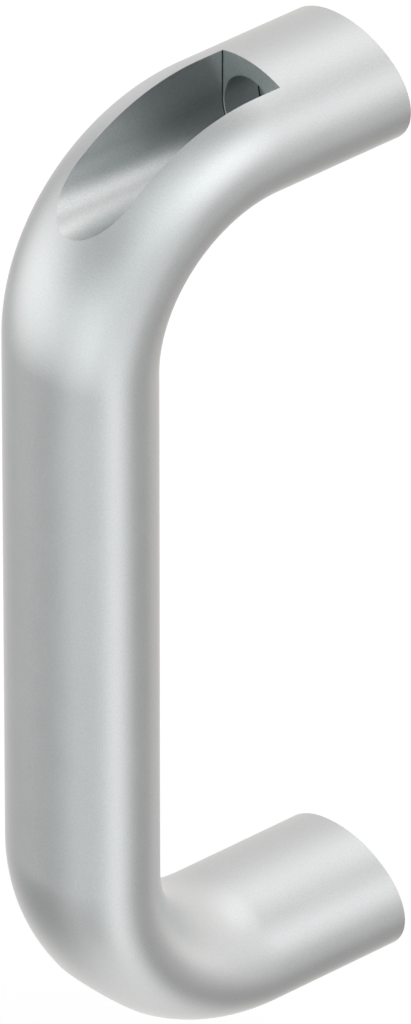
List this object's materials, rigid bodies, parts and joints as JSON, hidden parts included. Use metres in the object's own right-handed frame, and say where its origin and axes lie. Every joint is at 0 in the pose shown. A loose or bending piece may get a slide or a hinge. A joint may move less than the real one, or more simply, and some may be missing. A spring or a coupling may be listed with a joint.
{
  "type": "bow handle",
  "caption": "U-shaped bow handle bent from oval bar, with a milled screw pocket and counterbore in each bend, for pulling doors, drawers and covers.",
  "frame": {"origin": "midway between the two screw holes, on the plane of the leg ends, which meets the door", "axes": "+Z along the grip, +Y out of the leg ends into the door, +X across the bar"},
  "size_m": [0.026, 0.055, 0.149],
  "materials": {
    "blasted_aluminium": "fine blasted, natural anodised"
  },
  "bodies": {
    "root": {"bow_handle": "blasted_aluminium"}
  },
  "joints": []
}
